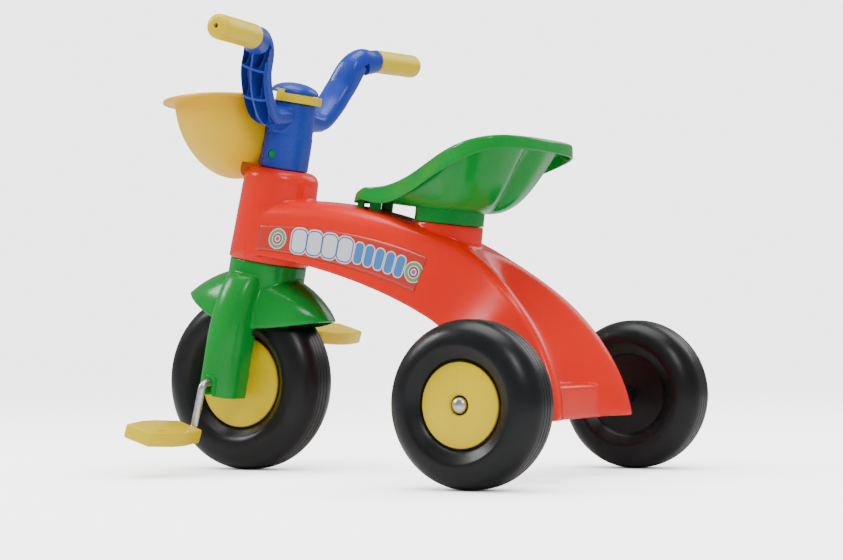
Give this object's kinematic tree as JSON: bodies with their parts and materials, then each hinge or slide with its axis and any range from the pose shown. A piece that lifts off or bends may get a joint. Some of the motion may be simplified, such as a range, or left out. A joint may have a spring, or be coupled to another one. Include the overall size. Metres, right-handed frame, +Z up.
{
  "type": "children's tricycle",
  "caption": "Front-drive toddler tricycle: arched red plastic body, green dished saddle and fork, blue handlebar with yellow grips, front bucket, black wheels with yellow hub discs.",
  "frame": {"origin": "on the ground, in the middle of the overall width and length", "axes": "-Y to the front, +X to the rider's left, +Z up"},
  "size_m": [0.4268, 0.558, 0.4707],
  "materials": {
    "red_plastic": "gloss, injection moulded",
    "green_plastic": "gloss, injection moulded",
    "blue_plastic": "gloss, injection moulded",
    "yellow_plastic": "satin gloss, injection moulded",
    "bucket_plastic": "satin, slightly translucent",
    "black_plastic": "satin black, blow moulded",
    "label_film": "printed gloss film",
    "zinc_steel": "bright zinc plate"
  },
  "bodies": {
    "frame": {"main_frame": "red_plastic", "seat": "green_plastic", "seat_screw_front": "zinc_steel", "seat_screw_rear": "zinc_steel", "label_left": "label_film", "label_right": "label_film", "rear_axle": "zinc_steel", "axle_cap_left": "zinc_steel", "axle_cap_right": "zinc_steel", "axle_spacer_left": "black_plastic", "axle_spacer_right": "black_plastic"},
    "steering": {"fork": "green_plastic", "handlebar": "blue_plastic", "column_cap": "blue_plastic", "locking_clip": "yellow_plastic", "grip_left": "yellow_plastic", "grip_right": "yellow_plastic", "bucket": "bucket_plastic", "bucket_screw_1": "zinc_steel", "bucket_screw_2": "zinc_steel"},
    "front_wheel_set": {"front_wheel": "black_plastic", "front_hub_cap_left": "yellow_plastic", "front_hub_cap_right": "yellow_plastic", "crank": "zinc_steel"},
    "pedal_left_body": {"pedal_left": "yellow_plastic"},
    "pedal_right_body": {"pedal_right": "yellow_plastic"},
    "rear_left_wheel_set": {"rear_wheel_left": "black_plastic", "rear_hub_cap_left": "yellow_plastic"},
    "rear_right_wheel_set": {"rear_wheel_right": "black_plastic", "rear_hub_cap_right": "yellow_plastic"}
  },
  "joints": [
    {"name": "steer", "type": "hinge", "parent": "frame", "child": "steering", "pos_m": [0, -0.183, 0.097], "axis": [0, 0.1937, 0.9811], "range_deg": [-60, 60]},
    {"name": "front_wheel_spin", "type": "hinge", "parent": "steering", "child": "front_wheel_set", "pos_m": [0, -0.183, 0.097], "axis": [1, 0, 0], "continuous": true},
    {"name": "pedal_left_spin", "type": "hinge", "parent": "front_wheel_set", "child": "pedal_left_body", "pos_m": [0.1398, -0.19597, 0.04499], "axis": [1, 0, 0], "continuous": true},
    {"name": "pedal_right_spin", "type": "hinge", "parent": "front_wheel_set", "child": "pedal_right_body", "pos_m": [-0.1398, -0.17003, 0.14901], "axis": [1, 0, 0], "continuous": true},
    {"name": "rear_left_spin", "type": "hinge", "parent": "frame", "child": "rear_left_wheel_set", "pos_m": [0.183, 0.198, 0.08], "axis": [1, 0, 0], "continuous": true},
    {"name": "rear_right_spin", "type": "hinge", "parent": "frame", "child": "rear_right_wheel_set", "pos_m": [-0.183, 0.198, 0.08], "axis": [1, 0, 0], "continuous": true}
  ]
}
